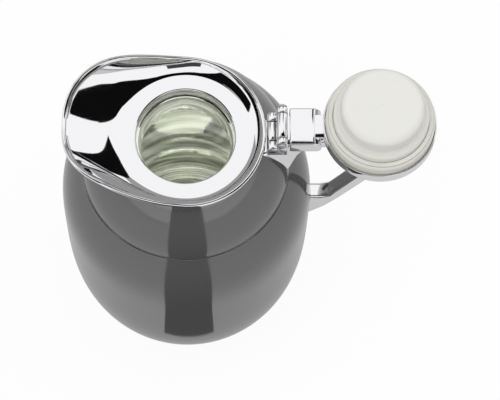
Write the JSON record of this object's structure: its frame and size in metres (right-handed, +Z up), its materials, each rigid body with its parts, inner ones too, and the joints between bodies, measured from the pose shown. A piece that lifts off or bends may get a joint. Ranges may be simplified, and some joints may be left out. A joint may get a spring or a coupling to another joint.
{
  "type": "vacuum carafe",
  "caption": "Table-top vacuum carafe: lacquered bulb body, chrome pouring collar with a wide spout, C-shaped handle and a flip-over stopper lid, shown open.",
  "frame": {"origin": "centre of the underside of the base pad, on the table", "axes": "+Z up, +X towards the hinge and handle, -X towards the spout, +Y completes the right-handed frame"},
  "size_m": [0.2174, 0.1504, 0.2642],
  "materials": {
    "body_lacquer": "high-gloss mid-grey lacquer",
    "chrome": "polished chrome plate",
    "steel": "plain steel",
    "silvered_glass": "silvered glass with a faint green cast",
    "stopper_plastic": "satin off-white",
    "silicone": "translucent white silicone",
    "insulation": "rigid foam",
    "base_plastic": "black moulded plastic",
    "rubber": "black rubber"
  },
  "bodies": {
    "carafe": {"shoulder_shell": "body_lacquer", "body_shell": "body_lacquer", "pouring_collar": "chrome", "neck_gasket": "silicone", "liner_inner_flask": "silvered_glass", "liner_outer_flask": "silvered_glass", "liner_spacer_1": "insulation", "liner_spacer_2": "insulation", "liner_spacer_3": "insulation", "liner_cushion": "rubber", "base_ring": "base_plastic", "base_cap": "base_plastic", "base_pad": "rubber", "handle": "chrome", "handle_upper_screw": "steel", "handle_upper_washer": "steel", "handle_lower_screw": "steel", "handle_lower_washer": "steel", "hinge_bracket": "chrome", "bracket_screw_1": "steel", "bracket_screw_2": "steel", "hinge_pin": "steel", "hinge_pin_clip": "steel"},
    "lid": {"lid_arm": "chrome", "arm_screw_1": "steel", "arm_screw_2": "steel", "lid_shell": "chrome", "lid_insulation": "insulation", "stopper_flange": "stopper_plastic", "stopper_gasket": "silicone", "stopper_plug": "stopper_plastic", "stopper_insulation": "insulation", "stopper_screw": "steel"}
  },
  "joints": [
    {"name": "lid_hinge", "type": "hinge", "parent": "carafe", "child": "lid", "pos_m": [0.055, 0, 0.2325], "axis": [0, -1, 0], "range_deg": [0, 180]}
  ]
}
